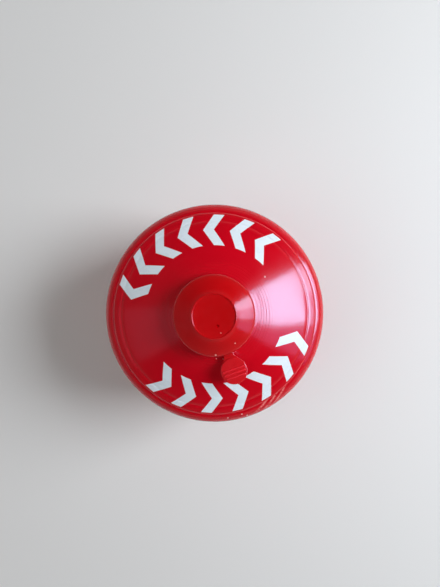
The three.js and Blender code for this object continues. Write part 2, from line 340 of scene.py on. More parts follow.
class Shader:
    """Makes the nodes of one tree."""

    def __init__(self, tree: bpy.types.NodeTree) -> None:
        """Takes the tree of a material or a world, and empties it."""
        self.tree = tree
        self.tree.nodes.clear()

    def add(
        self, kind: str, settings: Fields | None = None, inputs: Fields | None = None, output: str | int = 0
    ) -> Signal:
        """Adds a node of any type.

        Args:
            kind: The node's type.
            settings: Its own properties, which are set first.
            inputs: Values or signals by socket.
            output: The output that is wanted.

        Returns:
            That output as a signal.
        """
        node = self.tree.nodes.new(kind)
        for key, value in (settings or {}).items():
            setattr(node, key, value)
        for key, value in (inputs or {}).items():
            if isinstance(value, Signal):
                self.tree.links.new(value.socket, node.inputs[key])
            else:
                node.inputs[key].default_value = value
        return Signal(self, node.outputs[output])

    def place(self) -> Signal:
        """The surface's own place in millimetres, as a vector."""
        metres = self.add("ShaderNodeTexCoord", output="Object")
        return self.add("ShaderNodeVectorMath", {"operation": "SCALE"}, {0: metres, "Scale": 1 / MM})

    def parts(self, vector: Signal) -> list[Signal]:
        """The three coordinates of a vector."""
        node = self.add("ShaderNodeSeparateXYZ", inputs={0: vector}).socket.node
        return [Signal(self, output) for output in node.outputs]

    def vector(self, x: Signal | float, y: Signal | float, z: Signal | float) -> Signal:
        """A vector from three coordinates."""
        return self.add("ShaderNodeCombineXYZ", inputs={0: x, 1: y, 2: z})

    def round_place(self, vector: Signal) -> tuple[Signal, Signal, Signal]:
        """A place's distance from the Z axis, its angle about it in degrees, and its height.

        Args:
            vector: The place in millimetres.

        Returns:
            The radius, the angle from -180 to 180 and the height.
        """
        x, y, z = self.parts(vector)
        return (x * x + y * y).root(), y.bearing(x) * math.degrees(1), z

    def noise(self, vector: Signal, scale: float, detail: float = 2.0, roughness: float = 0.5) -> Signal:
        """Soft noise round 0.5.

        Args:
            vector: Where it is read, in millimetres.
            scale: How many blobs there are to a millimetre.
            detail: How many finer layers it has.
            roughness: How strong the finer layers are.

        Returns:
            The noise.
        """
        inputs = {"Vector": vector, "Scale": scale, "Detail": detail, "Roughness": roughness}
        return self.add("ShaderNodeTexNoise", inputs=inputs)

    def mix(self, share: Signal, first: Signal | Colour, second: Signal | Colour) -> Signal:
        """Mixes two colours.

        Args:
            share: How much of the second there is.
            first: The colour at share 0.
            second: The colour at share 1.

        Returns:
            The mixed colour.
        """
        return self.add("ShaderNodeMix", {"data_type": "RGBA"}, {0: share, 6: first, 7: second}, 2)

    def bump(self, height: Signal) -> Signal:
        """A normal from a height in millimetres."""
        return self.add("ShaderNodeBump", inputs={"Distance": MM, "Height": height})

    def surface(self, **sockets: object) -> None:
        """Adds the surface shader and the output.

        Args:
            sockets: The surface's values or signals, by socket name with _ for a space.
        """
        inputs = {key.replace("_", " "): value for key, value in sockets.items()}
        self.send(self.add("ShaderNodeBsdfPrincipled", inputs=inputs))

    def send(self, shading: Signal, kind: str = "ShaderNodeOutputMaterial") -> None:
        """Links a shader to the tree's output, a node of the given type."""
        node = self.tree.nodes.new(kind)
        self.tree.links.new(shading.socket, node.inputs["Surface"])


def new_material(name: str) -> tuple[bpy.types.Material, Shader]:
    """Makes an empty material and the maker of its nodes."""
    material = bpy.data.materials.new(name)
    material.use_nodes = True
    return material, Shader(material.node_tree)


# Finishes


class Finish(ABC):
    """A finish, which makes one material."""

    name: str

    def material(self) -> bpy.types.Material:
        """Makes the material.

        Returns:
            The material with its nodes.
        """
        material, shader = new_material(self.name)
        self.paint(shader, shader.place())
        return material

    @abstractmethod
    def paint(self, shader: Shader, place: Signal) -> None:
        """Adds the finish's nodes.

        Args:
            shader: The material's node maker.
            place: The surface's place in millimetres.
        """


@dataclass(frozen=True)
class Speck:
    """A round fleck on a surface."""

    x: float
    y: float
    z: float
    radius: float

    def mask(self, shader: Shader, place: Signal) -> Signal:
        """1 on the fleck and 0 round it, with a soft edge."""
        soft = 0.12
        points = {0: place, 1: (self.x, self.y, self.z)}
        away = shader.add("ShaderNodeVectorMath", {"operation": "DISTANCE"}, points, "Value")
        return away.fall(self.radius - soft, self.radius + soft)


@dataclass(frozen=True)
class ChevronPrint:
    """White print on the dome: bold chevrons that point round it, in two arcs."""

    inner: float = 32.9
    outer: float = 48.6
    stroke: float = 4.3
    lean: float = 5.2
    count: int = 7
    arc_centres: tuple[float, float] = (108.5, -73.5)
    arc_span: float = 127.0
    edge: float = 0.06

    def mask(self, radius: Signal, angle: Signal) -> Signal:
        """Where the print lies.

        Args:
            radius: The surface's distance from the axis.
            angle: Its angle about the axis.

        Returns:
            1 on the print and 0 elsewhere.
        """
        half = (self.outer - self.inner) / 2
        off_middle = abs(radius - (self.outer + self.inner) / 2)
        pitch = self.arc_span / self.count
        cosine = math.cos(math.atan2(self.lean, half))
        rows = []
        for centre in self.arc_centres:
            turn = (angle - centre).cell(FULL_TURN, 0.5) * FULL_TURN
            along = turn.cell(pitch, self.count / 2) * math.radians(pitch) * radius
            across = abs((along + off_middle * (self.lean / half) - self.lean / 2) * cosine)
            line = across.fall(self.stroke / 2 - self.edge, self.stroke / 2 + self.edge)
            rows.append(line * abs(turn).below(self.arc_span / 2))
        return any_of(rows) * off_middle.fall(half - self.edge, half + self.edge)


@dataclass(frozen=True)
class RedEnamel(Finish):
    """Glossy red enamel on the drawn shell, with its print, flecks, painted highlight streaks at the
    shoulder and the sheet's fine rings.
    """

    name: str = "red_enamel"
    red: Colour = (0.62, 0.0010, 0.011, 1.0)
    deep_red: Colour = (0.52, 0.0006, 0.006, 1.0)
    white: Colour = (0.80, 0.89, 0.97, 1.0)
    pale: Colour = (0.80, 0.50, 0.48, 1.0)
    dark: Colour = (0.03, 0.012, 0.015, 1.0)
    streak_highlight: Colour = (0.90, 0.26, 0.25, 1.0)
    top_from: float = 60.0
    print_depth: float = 0.012
    skin_depth: float = 0.022
    wave_depth: float = 0.10
    ring_depth: float = 0.042
    ring_pitch: float = 1.35
    ring_fade: Point = (24.0, 30.0)
    pale_specks: tuple[Speck, ...] = (
        Speck(23.9, 17.8, 81.4, 0.42),
        Speck(13.5, -49.6, 72.0, 0.40),
        Speck(16.2, -50.6, 70.8, 0.32),
        Speck(6.6, -51.6, 71.6, 0.34),
        Speck(1.0, -20.4, 84.8, 0.24),
        Speck(4.1, -20.6, 84.7, 0.20),
    )
    dark_specks: tuple[Speck, ...] = (
        Speck(-15.6, -38.5, 77.2, 0.42),
        Speck(44.5, -10.3, 75.3, 0.30),
        Speck(24.9, 6.8, 83.0, 0.22),
        Speck(27.6, 9.8, 81.8, 0.20),
        Speck(22.6, 3.0, 84.0, 0.18),
        Speck(-44.6, 6.5, 75.5, 0.30),
    )

    def paint(self, shader: Shader, place: Signal) -> None:
        """Adds the enamel's nodes."""
        radius, angle, height = shader.round_place(place)
        on_top = height.above(self.top_from)
        cloud = shader.noise(place, 0.035, 3.0).smooth(0.3, 0.75)
        colour = shader.mix(cloud * 0.35, self.red, self.deep_red)
        printed = ChevronPrint().mask(radius, angle) * on_top
        colour = shader.mix(printed, colour, self.white)
        # Painted highlight: pale streaks on the shoulder, broken up by noise, stand in for light on dents.
        patches = shader.noise(place, 0.9, 3.0).smooth(0.30, 0.62)
        colour = shader.mix(self.highlight_streaks(radius, angle) * on_top * patches, colour, self.streak_highlight)
        for flecks, tone in ((self.pale_specks, self.pale), (self.dark_specks, self.dark)):
            colour = shader.mix(any_of(fleck.mask(shader, place) for fleck in flecks), colour, tone)
        smears = shader.noise(place, 0.12, 4.0, 0.6)
        rings = shader.noise(shader.vector(radius, angle * 0.02, 0.0), 0.7, 2.5, 0.55)
        line = abs(radius.cell(self.ring_pitch, rings * 0.9)).fall(0.02, 0.2)
        near_cap = radius.fall(*self.ring_fade)
        drawn = rings * (near_cap * self.wave_depth + 0.006) - line * near_cap * self.ring_depth
        skin = shader.noise(place, 0.5, 3.0, 0.6) * self.skin_depth
        relief = drawn + skin + printed * self.print_depth
        roughness = 0.11 + smears * 0.09 + printed * 0.12
        shader.surface(Base_Color=colour, Roughness=roughness, IOR=IOR, Normal=shader.bump(relief))

    def highlight_streaks(self, radius: Signal, angle: Signal) -> Signal:
        """Three slanting pale streaks at the shoulder's radius: painted highlights, as of light on small
        dents.

        Args:
            radius: The surface's distance from the axis.
            angle: Its angle about the axis.

        Returns:
            How strong the painted highlight is, from 0 to 0.85.
        """
        middle_angle, middle_radius = -57.0, 51.4
        pitch, count, slope = 5.6, 3, 2.3
        strength = 0.85
        half_row = pitch * count / 2
        off_middle = radius - middle_radius
        slanted = (angle - middle_angle) * math.radians(1) * radius + off_middle * slope
        line = abs(slanted.cell(pitch, count / 2)).fall(0.05, 0.32)
        row = abs(slanted).fall(half_row - 0.5, half_row)
        return line * row * abs(off_middle).fall(0.7, 2.6) * strength


@dataclass(frozen=True)
class Tinplate(Finish):
    """Bare tinned steel, with the fine rings that pressing leaves on it."""

    name: str = "tinplate"
    bright: Colour = (0.60, 0.59, 0.56, 1.0)
    dull: Colour = (0.42, 0.41, 0.39, 1.0)
    roughness: float = 0.26
    ring_depth: float = 0.004

    def paint(self, shader: Shader, place: Signal) -> None:
        """Adds the tinplate's nodes."""
        radius, angle, height = shader.round_place(place)
        spangle = shader.noise(place, 0.35, 4.0, 0.65).smooth(0.35, 0.7)
        rings = shader.noise(shader.vector(radius, angle * 0.01, height * 0.2), 2.6)
        stain = shader.noise(place, 0.08, 3.0).smooth(0.45, 0.8)
        shader.surface(
            Base_Color=shader.mix((spangle * 0.4).either(stain * 0.55), self.bright, self.dull),
            Metallic=0.95,
            Roughness=self.roughness + rings * 0.12 + stain * 0.1,
            Normal=shader.bump(rings * self.ring_depth),
        )


@dataclass(frozen=True)
class CapPlastic(Finish):
    """Moulded red polyethylene, a little waxy, with painted highlight on its grip and ridges."""

    ridge_level: float
    tab_start: float
    name: str = "red_polyethylene"
    red: Colour = (0.56, 0.0004, 0.0030, 1.0)
    deep_red: Colour = (0.48, 0.0002, 0.0012, 1.0)
    pale: Colour = (0.85, 0.42, 0.38, 1.0)
    tab_highlight: Colour = (0.85, 0.020, 0.035, 1.0)
    ridge_highlight: float = 0.65
    grip_highlight: float = 0.35
    pale_specks: tuple[Speck, ...] = (
        Speck(0.75, -17.6, 92.0, 0.42),
        Speck(9.4, -12.2, 93.3, 0.30),
        Speck(3.1, -7.4, 96.26, 0.20),
    )

    def paint(self, shader: Shader, place: Signal) -> None:
        """Adds the plastic's nodes."""
        radius, angle, height = shader.round_place(place)
        cloud = shader.noise(place, 0.09, 3.0).smooth(0.3, 0.75)
        colour = shader.mix(cloud * 0.5, self.red, self.deep_red)
        # Painted highlight: the ridge tops and the grip's upper part turn a brighter red, as where they
        # catch the light.
        ridges = height.smooth(self.ridge_level, self.ridge_level + 0.4) * self.ridge_highlight
        grip = height.smooth(self.ridge_level - 0.8, self.ridge_level - 0.1) * self.grip_highlight
        colour = shader.mix((ridges + grip) * radius.above(self.tab_start), colour, self.tab_highlight)
        flecks = any_of(fleck.mask(shader, place) for fleck in self.pale_specks)
        rings = shader.noise(shader.vector(radius, angle * 0.02, height * 0.3), 1.4)
        rub = shader.noise(place, 0.3, 4.0, 0.6).smooth(0.4, 0.75)
        shader.surface(
            Base_Color=shader.mix(flecks, colour, self.pale),
            Roughness=0.14 + rub * 0.07,
            IOR=IOR,
            Normal=shader.bump(rings * 0.008 + shader.noise(place, 2.2) * 0.003),
        )


@dataclass(frozen=True)
class PlainFinish(Finish):
    """A finish of one colour that varies a little, for the valve's inner pieces."""

    name: str
    colour: Colour
    shade: Colour
    roughness: float
    metallic: float = 0.0
    grain: float = 1.5
    relief: float = 0.006

    def paint(self, shader: Shader, place: Signal) -> None:
        """Adds the finish's nodes."""
        grain = shader.noise(place, self.grain, 3.0)
        shader.surface(
            Base_Color=shader.mix(grain.smooth(0.35, 0.7), self.colour, self.shade),
            Metallic=self.metallic,
            Roughness=self.roughness + grain * 0.12,
            Normal=shader.bump(grain * self.relief),
        )


BLACK_RUBBER = PlainFinish("black_rubber", (0.018, 0.018, 0.018, 1), (0.03, 0.03, 0.03, 1), 0.62)
PALE_NYLON = PlainFinish("pale_nylon", (0.70, 0.68, 0.60, 1), (0.62, 0.60, 0.52, 1), 0.38)
SPRING_STEEL = PlainFinish("spring_steel", (0.52, 0.53, 0.55, 1), (0.40, 0.41, 0.43, 1), 0.22, 1.0)


# Sub-assemblies


@dataclass
class Can:
    """The drawn shell with its dome and rolled neck, and the base seamed under it."""

    radius: float
    wall_top: float = 66.0
    shoulder_radius: float = 7.0
    shoulder_turn: float = 72.0
    step_width: float = 1.2
    step_height: float = 0.9
    edge_slope: float = 24.5
    neck_slope: float = 17.5
    neck_rise: float = 1.2
    neck_flare: float = 0.9
    curl_radius: float = 1.4
    opening_radius: float = 12.7
    sheet: float = 0.35
    seam_inset: float = 4.5
    seam_width: float = 2.9
    seam_height: float = 3.2
    seam_edge: float = 0.6
    seam_groove: float = 1.1
    body_taper: float = 7.0
    panel_inset: float = 1.4
    panel_height: float = 4.5
    panel_rise: float = 8.5
    groove_radius: float = 45.4
    groove_width: float = 1.1
    groove_depth: float = 0.13
    segments: int = 224

    def __post_init__(self) -> None:
        """Works out the places that follow from the sizes."""
        self.wall_centre = Vector((self.radius - self.shoulder_radius, self.wall_top))
        self.crease = self.wall_centre + self.shoulder_radius * ray(self.shoulder_turn)
        self.dome_edge = self.crease + Vector((-self.step_width, self.step_height))
        self.curl_centre = self.opening_radius + self.curl_radius
        self.neck_radius = self.curl_centre + self.curl_radius + self.neck_flare
        edge = ray(90 - self.edge_slope)
        neck = ray(90 - self.neck_slope)
        self.dome_radius = (self.dome_edge.x - self.neck_radius) / (edge.x - neck.x)
        self.dome_centre = self.dome_edge - self.dome_radius * edge
        self.curl_height = self.dome_height(self.neck_radius) + self.neck_rise
        self.seam_outer = self.radius - self.seam_inset
        self.seam_inner = self.seam_outer - self.seam_width

    def dome_height(self, radius: float) -> float:
        """The dome's height at a distance from the axis."""
        across = radius - self.dome_centre.x
        return self.dome_centre.y + math.sqrt(self.dome_radius**2 - across**2)

    def dome_angle(self, radius: float) -> float:
        """The angle on the dome's arc at a distance from the axis."""
        return math.degrees(math.acos((radius - self.dome_centre.x) / self.dome_radius))

    def shell_outline(self) -> Outline:
        """The shell's outer face, from the seam up to the end of the neck's curl."""
        seam = self.seam_outer - self.seam_groove
        taper_middle = self.seam_height + self.body_taper / 2
        taper_top = self.seam_height + self.body_taper
        half_step = self.step_width / 2
        groove_out = self.groove_radius + self.groove_width / 2
        groove_in = self.groove_radius - self.groove_width / 2
        groove_floor = self.dome_height(self.groove_radius) - 2 * self.groove_depth
        curl_outer = self.curl_centre + self.curl_radius
        dome = (self.dome_centre, self.dome_radius)
        path = Outline().to(seam, self.seam_height)
        path.curve((seam, taper_middle), (self.radius, taper_middle), (self.radius, taper_top))
        path.to(self.radius, self.wall_top, steps=6)
        path.arc(self.wall_centre, self.shoulder_radius, 0, self.shoulder_turn, steps=16)
        dome_lead = self.dome_edge + half_step * ray(-self.edge_slope)
        path.curve(self.crease - Vector((half_step, 0)), dome_lead, self.dome_edge, steps=10)
        path.arc(*dome, self.dome_angle(self.dome_edge.x), self.dome_angle(groove_out), steps=3)
        path.curve((self.groove_radius, groove_floor), (groove_in, self.dome_height(groove_in)))
        path.arc(*dome, self.dome_angle(groove_in), self.dome_angle(self.neck_radius), steps=24)
        path.curve((curl_outer, self.dome_height(self.neck_radius)), (curl_outer, self.curl_height))
        path.arc((self.curl_centre, self.curl_height), self.curl_radius, 0, 180, steps=14)
        return path.to(self.opening_radius, self.curl_height - self.curl_radius)

    def base_outline(self) -> Outline:
        """The base's lower face, from its middle out and round the seam that holds it to the shell."""
        inner, outer, edge = self.seam_inner, self.seam_outer, self.seam_edge
        panel_radius = inner - self.panel_inset
        panel_arc = (panel_radius**2 + self.panel_rise**2) / (2 * self.panel_rise)
        panel_top = self.panel_height + self.panel_rise
        panel_edge = math.degrees(math.acos(panel_radius / panel_arc))
        path = Outline().to(0, panel_top)
        path.arc((0, panel_top - panel_arc), panel_arc, 90, panel_edge, steps=24)
        path.curve((inner, self.panel_height), (inner, self.seam_height)).to(inner, edge)
        path.arc((inner + edge, edge), edge, 180, 270, steps=6)
        path.arc((outer - edge, edge), edge, 270, 360, steps=6)
        path.arc((outer - edge, self.seam_height - edge), edge, 0, 90, steps=6)
        return path.to(outer - self.seam_groove - self.sheet, self.seam_height)

    def build(self) -> None:
        """Makes the shell and the base, and sets them in place of the frame's can.

        Both are sheets of the can's thickness, which grow inwards from their outlines.
        """
        sheets = (
            (self.shell_outline(), "can_shell", RedEnamel(), "red_paint"),
            (self.base_outline(), "can_base", Tinplate(name="base_tinplate"), "tinplate"),
        )
        for outline, name, finish, slot in sheets:
            piece = object_from(turned(outline, self.segments), name, smooth_angle=40.0)
            wall = piece.modifiers.new("sheet", "SOLIDIFY")
            wall.thickness = self.sheet * MM
            wall.offset = -1
            wall.use_even_offset = True
            piece.data.materials.append(finish.material())
            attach(piece, "canister")
            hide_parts("can")


@dataclass
class ValveCup:
    """The pressed cup crimped over the neck, with the threaded boss drawn up in its middle."""

    can: Can
    gasket: float = 0.6
    seat_gap: float = 0.1
    sheet: float = 0.4
    depth: float = 6.5
    corner: float = 0.8
    skirt: float = 0.9
    crimp_swell: float = 0.8
    crimp_drop: float = 1.0
    boss_radius: float = 5.555
    boss_wall: float = 0.9
    boss_rise: float = 4.5
    boss_fillet: float = 0.7
    boss_chamfer: float = 0.45
    boss_flange: float = 0.5
    port_radius: float = 2.1
    port_edge: float = 0.2
    clinch_depth: float = 0.4
    clinch_height: float = 1.0
    thread_pitch: float = 0.907
    thread_depth: float = 0.5
    thread_length: float = 7.6
    segments: int = 144

    def __post_init__(self) -> None:
        """Works out the heights that follow from the can's neck."""
        self.bead_inner = self.can.curl_radius + 2 * self.seat_gap
        self.bead_outer = self.bead_inner + self.sheet
        self.bead_height = self.can.curl_height + self.gasket
        self.crimp_top = self.bead_height + self.bead_outer
        self.floor = self.crimp_top - self.depth
        self.boss_top = self.crimp_top + self.boss_rise

    def outline(self) -> Outline:
        """The cup's section, closed on itself."""
        centre = (self.can.curl_centre, self.bead_height)
        wall_outer = self.can.curl_centre - self.bead_inner
        wall_inner = wall_outer - self.sheet
        crimp = self.can.curl_height - self.can.curl_radius - self.crimp_drop
        swell = self.crimp_swell
        corner = self.corner + self.sheet
        underside = self.floor - self.sheet
        boss, fillet = self.boss_radius, self.boss_fillet
        bore = boss - self.boss_wall
        port, edge = self.port_radius, self.port_edge
        top = self.boss_top
        flange = top - self.boss_flange
        clinch_radius = bore - self.clinch_depth
        clinch_top = self.floor + fillet + self.clinch_height
        clinch_low = clinch_top - self.clinch_height
        skirt_bottom = self.bead_height - self.skirt
        thread_steps = 104
        path = Outline().to(centre[0] + self.bead_outer, skirt_bottom)
        path.arc(centre, self.bead_outer, 0, 180, steps=24).to(wall_inner, crimp + swell)
        path.curve((wall_inner + 2 * swell, crimp), (wall_inner, crimp - swell))
        path.arc((wall_inner - self.corner, self.floor + self.corner), self.corner, 0, -90)
        path.arc((boss + fillet, self.floor + fillet), fillet, -90, -180)
        path.to(boss, top - self.boss_chamfer, steps=thread_steps)
        path.to(boss - self.boss_chamfer, top).to(port + edge, top)
        path.curve((port, top), (port, top - edge)).to(port, flange).to(bore, flange).to(bore, clinch_top)
        path.to(clinch_radius, clinch_top - self.clinch_depth / 2)
        path.to(clinch_radius, clinch_low + self.clinch_depth / 2)
        path.to(bore, clinch_low).to(bore, underside)
        path.arc((wall_outer - corner, underside + corner), corner, -90, 0).to(wall_outer, crimp - swell)
        path.curve((wall_outer + 2 * swell, crimp), (wall_outer, crimp + swell))
        path.arc(centre, self.bead_inner, 180, 0, steps=24)
        return path.to(centre[0] + self.bead_inner, skirt_bottom)

    def cut_thread(self, bm: Mesh) -> None:
        """Presses a right-hand thread into the boss's outer wall.

        Args:
            bm: The cup's mesh.
        """
        top = (self.boss_top - self.boss_chamfer) * MM
        bottom = top - self.thread_length * MM
        pitch = self.thread_pitch * MM
        crest_share = 0.2
        near = 1e-6
        for vert in bm.verts:
            reach = math.hypot(vert.co.x, vert.co.y)
            if abs(reach - self.boss_radius * MM) > near or not bottom < vert.co.z < top:
                continue
            phase = vert.co.z / pitch - math.atan2(vert.co.y, vert.co.x) / math.tau
            valley = 1 - abs((phase % 1.0) * 2 - 1)
            share = min(max((valley - crest_share) / (1 - 2 * crest_share), 0), 1)
            fade = min((vert.co.z - bottom) / pitch, (top - vert.co.z) / (pitch / 2), 1)
            inward = 1 - share * fade * self.thread_depth * MM / reach
            vert.co.x *= inward
            vert.co.y *= inward

    def build(self) -> None:
        """Makes the cup and sets it in place of the frame's own."""
        bm = turned(self.outline(), self.segments, closed=True)
        self.cut_thread(bm)
        cup = object_from(bm, "crimped_cup", smooth_angle=50.0)
        cup.data.materials.append(Tinplate().material())
        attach(cup, "canister")
        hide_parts("valve_cup")


@dataclass
class Cap:
    """The pressed-on cap: a conical top with a sunk disc, a skirt with a snap ring, and a pull tab."""

    can: Can
    cup: ValveCup
    radius: float = 18.7
    wall: float = 1.15
    cone_height: float = 5.1
    shoulder: float = 1.0
    headroom: float = 0.5
    disc_radius: float = 9.5
    disc_sink: float = 0.3
    disc_thickness: float = 1.4
    disc_fillet: float = 0.12
    rim_width: float = 0.7
    rim_edge: float = 0.14
    snap_height: float = 1.3
    snap_drop: float = 1.1
    skirt_gap: float = 0.3
    skirt_edge: float = 0.2
    gate_offset: float = 4.7
    gate_radius: float = 0.75
    gate_depth: float = 0.6
    tab_direction: float = -70.3
    tab_reach: float = 27.1
    tab_rise: float = 0.25
    neck_width: float = 4.9
    neck_root: float = 6.8
    neck_flare: float = 50.0
    neck_thickness: float = 1.4
    neck_edge: float = 0.3
    grip_radius: float = 6.2
    grip_thickness: float = 1.9
    grip_edge: float = 0.5
    ridge_count: int = 3
    ridge_pitch: float = 1.75
    ridge_width: float = 0.9
    ridge_height: float = 0.5
    ridge_margin: float = 1.0
    ridge_offset: float = 0.9
    ridge_rounding: float = 0.42
    tab_margin: float = 0.6
    segments: int = 192

    def __post_init__(self) -> None:
        """Works out the heights that follow from the valve under the cap."""
        self.disc_top = self.cup.boss_top + self.headroom + self.disc_thickness
        self.rim_top = self.disc_top + self.disc_sink
        self.rim_radius = self.disc_radius + self.rim_width
        self.shoulder_height = self.rim_top - self.cone_height
        self.skirt_inner = self.radius - self.wall
        self.snap_radius = self.can.curl_centre + self.cup.bead_outer + self.skirt_gap
        self.snap_centre = self.cup.bead_height - self.snap_drop
        self.tab_bottom = self.can.dome_height(self.skirt_inner) + self.skirt_gap + self.tab_rise

    def shell_outline(self) -> Outline:
        """The section of the cap without its tab, from under its middle round to the top of its middle."""
        inner, outer = self.skirt_inner, self.radius
        rim, disc = self.rim_radius, self.disc_radius
        slope = math.atan2(self.cone_height, outer - rim)
        inner_rim = self.rim_top - self.wall / math.cos(slope)
        inner_shoulder = self.shoulder_height - self.wall * math.tan(math.pi / 4 - slope / 2)
        ceiling = self.disc_top - self.disc_thickness
        ceiling_radius = rim - (ceiling - inner_rim) / math.tan(slope)
        cone_step = self.shoulder * math.cos(slope)
        cone_foot = (outer - cone_step, self.shoulder_height + cone_step * math.tan(slope))
        snap_half = self.snap_height / 2
        snap_reach = 2 * (inner - self.snap_radius)
        bottom = self.can.dome_height(outer) + self.skirt_gap
        path = Outline().to(0, ceiling).to(ceiling_radius, ceiling)
        path.to(inner, inner_shoulder).to(inner, self.snap_centre + snap_half)
        path.curve((inner - snap_reach, self.snap_centre), (inner, self.snap_centre - snap_half))
        path.to(inner, self.can.dome_height(inner) + self.skirt_gap).to(outer - self.skirt_edge, bottom)
        path.curve((outer, bottom), (outer, bottom + self.skirt_edge), steps=4)
        path.to(outer, self.shoulder_height - self.shoulder, steps=3)
        path.curve((outer, self.shoulder_height), cone_foot, steps=10)
        path.to(rim, self.rim_top - self.rim_edge, steps=4)
        path.curve((rim - self.rim_edge, self.rim_top), (rim - self.rim_width / 2, self.rim_top), steps=6)
        path.curve((disc, self.rim_top), (disc, self.rim_top - self.rim_edge), steps=6)
        path.to(disc, self.disc_top + self.disc_fillet)
        path.curve((disc, self.disc_top), (disc - self.disc_fillet, self.disc_top), steps=5)
        return path.to(0, self.disc_top, steps=3)

    def neck(self) -> Piece:
        """The waisted strip between the skirt and the grip, along +X."""
        root = Vector((self.radius - self.wall / 2, self.neck_root / 2))
        end = Vector((self.tab_reach, 0)) + self.grip_radius * ray(180 - self.neck_flare)
        waist = Vector(((self.radius + self.tab_reach - self.grip_radius) / 2, self.neck_width / 2))
        side = Outline().to(*root).curve(2 * waist - (root + end) / 2, end, steps=12)
        whole = side.points + [(self.tab_reach, 0.0)] + [(x, -y) for x, y in reversed(side.points)]
        bm = bmesh.new()
        face = bm.faces.new([bm.verts.new((x * MM, y * MM, self.tab_bottom * MM)) for x, y in whole])
        made = bmesh.ops.extrude_face_region(bm, geom=[face])
        top = [item for item in made["geom"] if isinstance(item, bmesh.types.BMVert)]
        bmesh.ops.translate(bm, verts=top, vec=(0, 0, self.neck_thickness * MM))
        bmesh.ops.recalc_face_normals(bm, faces=bm.faces)
        long_edges = [
            edge
            for edge in bm.edges
            if abs(edge.verts[0].co.z - edge.verts[1].co.z) < MERGE_DISTANCE
            and max(vert.co.x for vert in edge.verts) > (root.x + self.neck_edge) * MM
        ]
        rounded(bm, long_edges, self.neck_edge)
        return object_from(bm, "cap_neck")

    def grip(self) -> Piece:
        """The round grip at the tab's end, along +X."""
        edge = self.grip_edge
        flat = self.grip_radius - edge
        path = Outline().to(0, 0).to(flat, 0).arc((flat, edge), edge, -90, 0, steps=6)
        path.arc((flat, self.grip_thickness - edge), edge, 0, 90, steps=6).to(0, self.grip_thickness)
        bm = turned(path, self.segments // 2)
        bmesh.ops.translate(bm, verts=bm.verts, vec=(self.tab_reach * MM, 0, self.tab_bottom * MM))
        return object_from(bm, "cap_grip")

    def ridge(self, index: int) -> Piece:
        """One finger ridge across the grip.

        Args:
            index: Which ridge it is, from the cap outwards.

        Returns:
            The ridge as an object of its own.
        """
        shift = (index - (self.ridge_count - 1) / 2) * self.ridge_pitch + self.ridge_offset
        half = math.sqrt(self.grip_radius**2 - shift**2) - self.ridge_margin
        top = self.tab_bottom + self.grip_thickness
        bm = bmesh.new()
        bmesh.ops.create_cube(bm, size=1.0)
        size = Vector((self.ridge_width, 2 * half, 2 * self.ridge_height)) * MM
        bmesh.ops.scale(bm, vec=size, verts=bm.verts)
        bmesh.ops.translate(bm, verts=bm.verts, vec=Vector((self.tab_reach + shift, 0, top)) * MM)
        upper = [edge for edge in bm.edges if min(vert.co.z for vert in edge.verts) > top * MM]
        rounded(bm, upper, self.ridge_width * self.ridge_rounding, segments=5)
        return object_from(bm, f"cap_ridge_{index}")

    def gate(self) -> Piece:
        """The cutter that leaves the pit of the moulding gate, along +X."""
        radius, depth = self.gate_radius, self.gate_depth
        path = Outline().to(0, -depth).to(radius / 2, -depth).to(radius, 0).to(radius, depth).to(0, depth)
        bm = turned(path, 24)
        bmesh.ops.translate(bm, verts=bm.verts, vec=Vector((self.gate_offset, 0, self.disc_top)) * MM)
        return object_from(bm, "cap_gate")

    def build(self) -> None:
        """Makes the cap in one mesh and sets it in place of the frame's own."""
        cap = object_from(turned(self.shell_outline(), self.segments), "cap_moulding")
        tools = [(self.neck(), Join.ADD), (self.grip(), Join.ADD)]
        tools += [(self.ridge(index), Join.ADD) for index in range(self.ridge_count)]
        tools.append((self.gate(), Join.CUT))
        turn = Matrix.Rotation(math.radians(self.tab_direction), 4, "Z")
        for tool, how in tools:
            tool.data.transform(turn)
            combine(cap, tool, how)
        cap.data.materials.clear()
        tab_start = self.radius + self.tab_margin
        plastic = CapPlastic(ridge_level=self.tab_bottom + self.grip_thickness, tab_start=tab_start)
        cap.data.materials.append(plastic.material())
        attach(cap, "cap")
        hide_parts("protective_cap")


@dataclass
class ReturnSpring:
    """The coil spring that shuts the valve, wound between the housing's floor and the stem."""

    travel: float
    wire: float = 0.5
    turns: int = 6
    closed_gap: float = 0.05
    steps_per_turn: int = 32
    wire_sides: int = 12

    def wound(self, low: Vector, high: Vector) -> Mesh:
        """Winds the wire, with its first and last turns lying closed.

        Args:
            low: The spring's lowest corner.
            high: Its highest corner.

        Returns:
            The coil's mesh.
        """
        closed_pitch = (self.wire + self.closed_gap) * MM
        open_pitch = (high.z - low.z - self.wire * MM - 2 * closed_pitch) / (self.turns - 2)
        reach = self.wire / 2 * MM
        bm = bmesh.new()
        bmesh.ops.create_circle(bm, segments=self.wire_sides, radius=reach)
        upright = Matrix.Rotation(math.pi / 2, 3, "X")
        bmesh.ops.rotate(bm, verts=bm.verts, cent=(0, 0, 0), matrix=upright)
        bmesh.ops.translate(bm, verts=bm.verts, vec=(high.x - reach, 0, low.z + reach))
        section = list(bm.verts) + list(bm.edges)
        for turns, pitch in ((1, closed_pitch), (self.turns - 2, open_pitch), (1, closed_pitch)):
            steps = self.steps_per_turn * turns
            sweep = {"angle": math.tau * turns, "dvec": (0, 0, pitch / self.steps_per_turn)}
            section = bmesh.ops.spin(bm, geom=section, steps=steps, **sweep, **ABOUT_Z)["geom_last"]
        bmesh.ops.holes_fill(bm, edges=[edge for edge in bm.edges if edge.is_boundary])
        bmesh.ops.recalc_face_normals(bm, faces=bm.faces)
        return bm

    def build(self) -> None:
        """Makes the spring and sets it on the stem's body."""
        low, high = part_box("return_spring")
        spring = object_from(self.wound(low, high), "closing_spring", smooth_angle=50.0)
        spring.data.materials.append(SPRING_STEEL.material())
        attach(spring, "stem")
        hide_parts("return_spring")
        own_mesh(spring)


